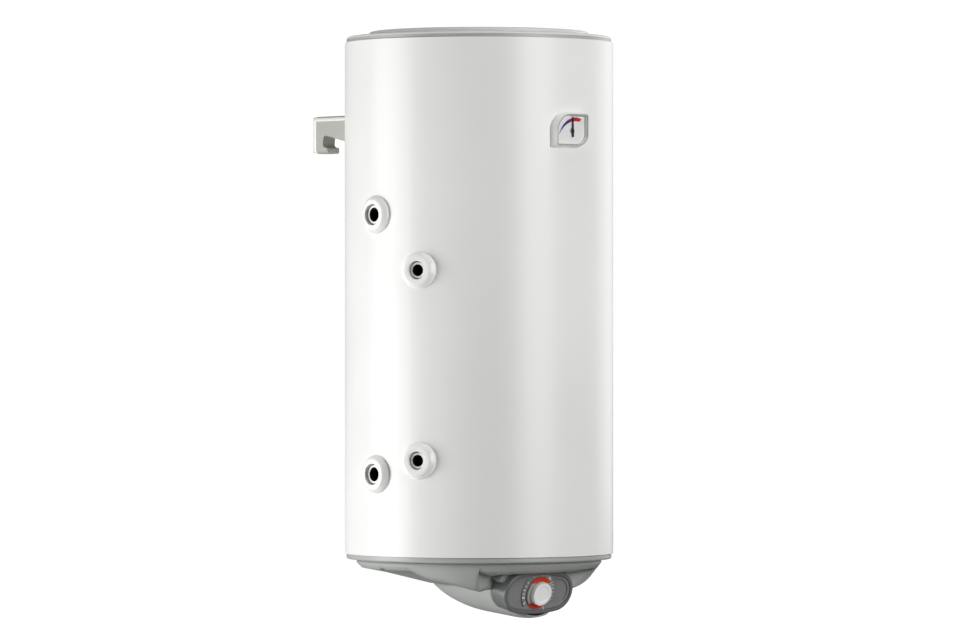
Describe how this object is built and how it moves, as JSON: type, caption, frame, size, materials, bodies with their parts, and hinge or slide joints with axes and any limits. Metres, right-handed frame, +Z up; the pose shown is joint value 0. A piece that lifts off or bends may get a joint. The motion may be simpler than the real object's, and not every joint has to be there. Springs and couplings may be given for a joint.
{
  "type": "indirect water heater",
  "caption": "Wall-hung upright indirect water heater: round white jacket, side sockets in domed rosettes, hooked hanger, thermometer badge, and a control panel on the nose of its base.",
  "frame": {"origin": "on the wall plane, midway between the two bolt slots of the hanger", "axes": "+Z up along the heater, +Y into the wall, +X to the right as seen from the front"},
  "size_m": [0.466, 0.491, 0.991],
  "materials": {
    "jacket_enamel": "gloss",
    "cap_plastic": "satin",
    "cover_plastic": "satin",
    "foam": "matt",
    "tank_steel": "gloss",
    "zinc_steel": "satin",
    "screw_steel": "satin",
    "stub_steel": "satin",
    "seal_rubber": "matt",
    "element_sheath": "polished",
    "magnesium": "matt",
    "copper_tube": "satin",
    "cold_blue": "satin",
    "hot_red": "satin",
    "bracket_paint": "satin",
    "spacer_rubber": "matt",
    "rosette_white": "gloss",
    "socket_black": "matt",
    "bezel_white": "gloss",
    "dial_white": "matt",
    "clear_lens": "clear",
    "pointer_dark": "matt",
    "housing_dark": "satin",
    "fascia_dark": "satin",
    "knob_grey": "satin",
    "skirt_orange": "satin",
    "black_moulding": "matt",
    "cream_moulding": "matt"
  },
  "bodies": {
    "heater": {"outer_shell": "jacket_enamel", "top_cover": "cap_plastic", "bottom_rim": "cap_plastic", "bottom_cover": "cover_plastic", "bottom_cover_screws": "screw_steel", "foam_insulation": "foam", "tank_shell": "tank_steel", "tank_top_head": "tank_steel", "tank_bottom_head": "tank_steel", "flange_neck": "tank_steel", "flange_gasket": "seal_rubber", "flange_plate": "zinc_steel", "flange_bolts": "screw_steel", "heating_element": "element_sheath", "anode_rod": "magnesium", "anode_core": "screw_steel", "sensor_pocket": "copper_tube", "thermostat_bulb": "copper_tube", "thermostat_capillary": "copper_tube", "cold_inlet_pipe": "stub_steel", "hot_outlet_pipe": "stub_steel", "inlet_diffuser": "cream_moulding", "cold_collar": "cold_blue", "hot_collar": "hot_red", "hanger_bracket": "bracket_paint", "hanger_strap": "zinc_steel", "lower_spacer": "spacer_rubber", "thermometer_bezel": "bezel_white", "thermometer_dial": "dial_white", "thermometer_lens": "clear_lens", "thermometer_stem": "copper_tube", "thermometer_pocket": "copper_tube", "cable_gland": "black_moulding", "control_housing": "housing_dark", "control_fascia": "fascia_dark", "thermostat_body": "black_moulding", "component_carrier": "zinc_steel", "safety_cutout": "black_moulding", "terminal_block": "cream_moulding", "coil_large": "tank_steel", "coil_small": "tank_steel", "large_lower_socket": "socket_black", "large_lower_rosette": "rosette_white", "large_upper_socket": "socket_black", "large_upper_rosette": "rosette_white", "small_lower_socket": "socket_black", "small_lower_rosette": "rosette_white", "small_upper_socket": "socket_black", "small_upper_rosette": "rosette_white"},
    "setting_knob": {"knob_cap": "knob_grey", "knob_skirt": "skirt_orange", "thermostat_spindle": "zinc_steel"},
    "pointer": {"thermometer_pointer": "pointer_dark", "pointer_spindle": "screw_steel"}
  },
  "joints": [
    {"name": "knob_turn", "type": "hinge", "parent": "heater", "child": "setting_knob", "pos_m": [0, -0.406, -0.791], "axis": [0, -0.9613, -0.2756], "range_deg": [-135, 135]},
    {"name": "pointer_turn", "type": "hinge", "parent": "heater", "child": "pointer", "pos_m": [0.004, -0.487, -0.018], "axis": [0, -1, 0], "range_deg": [-45, 95]}
  ]
}
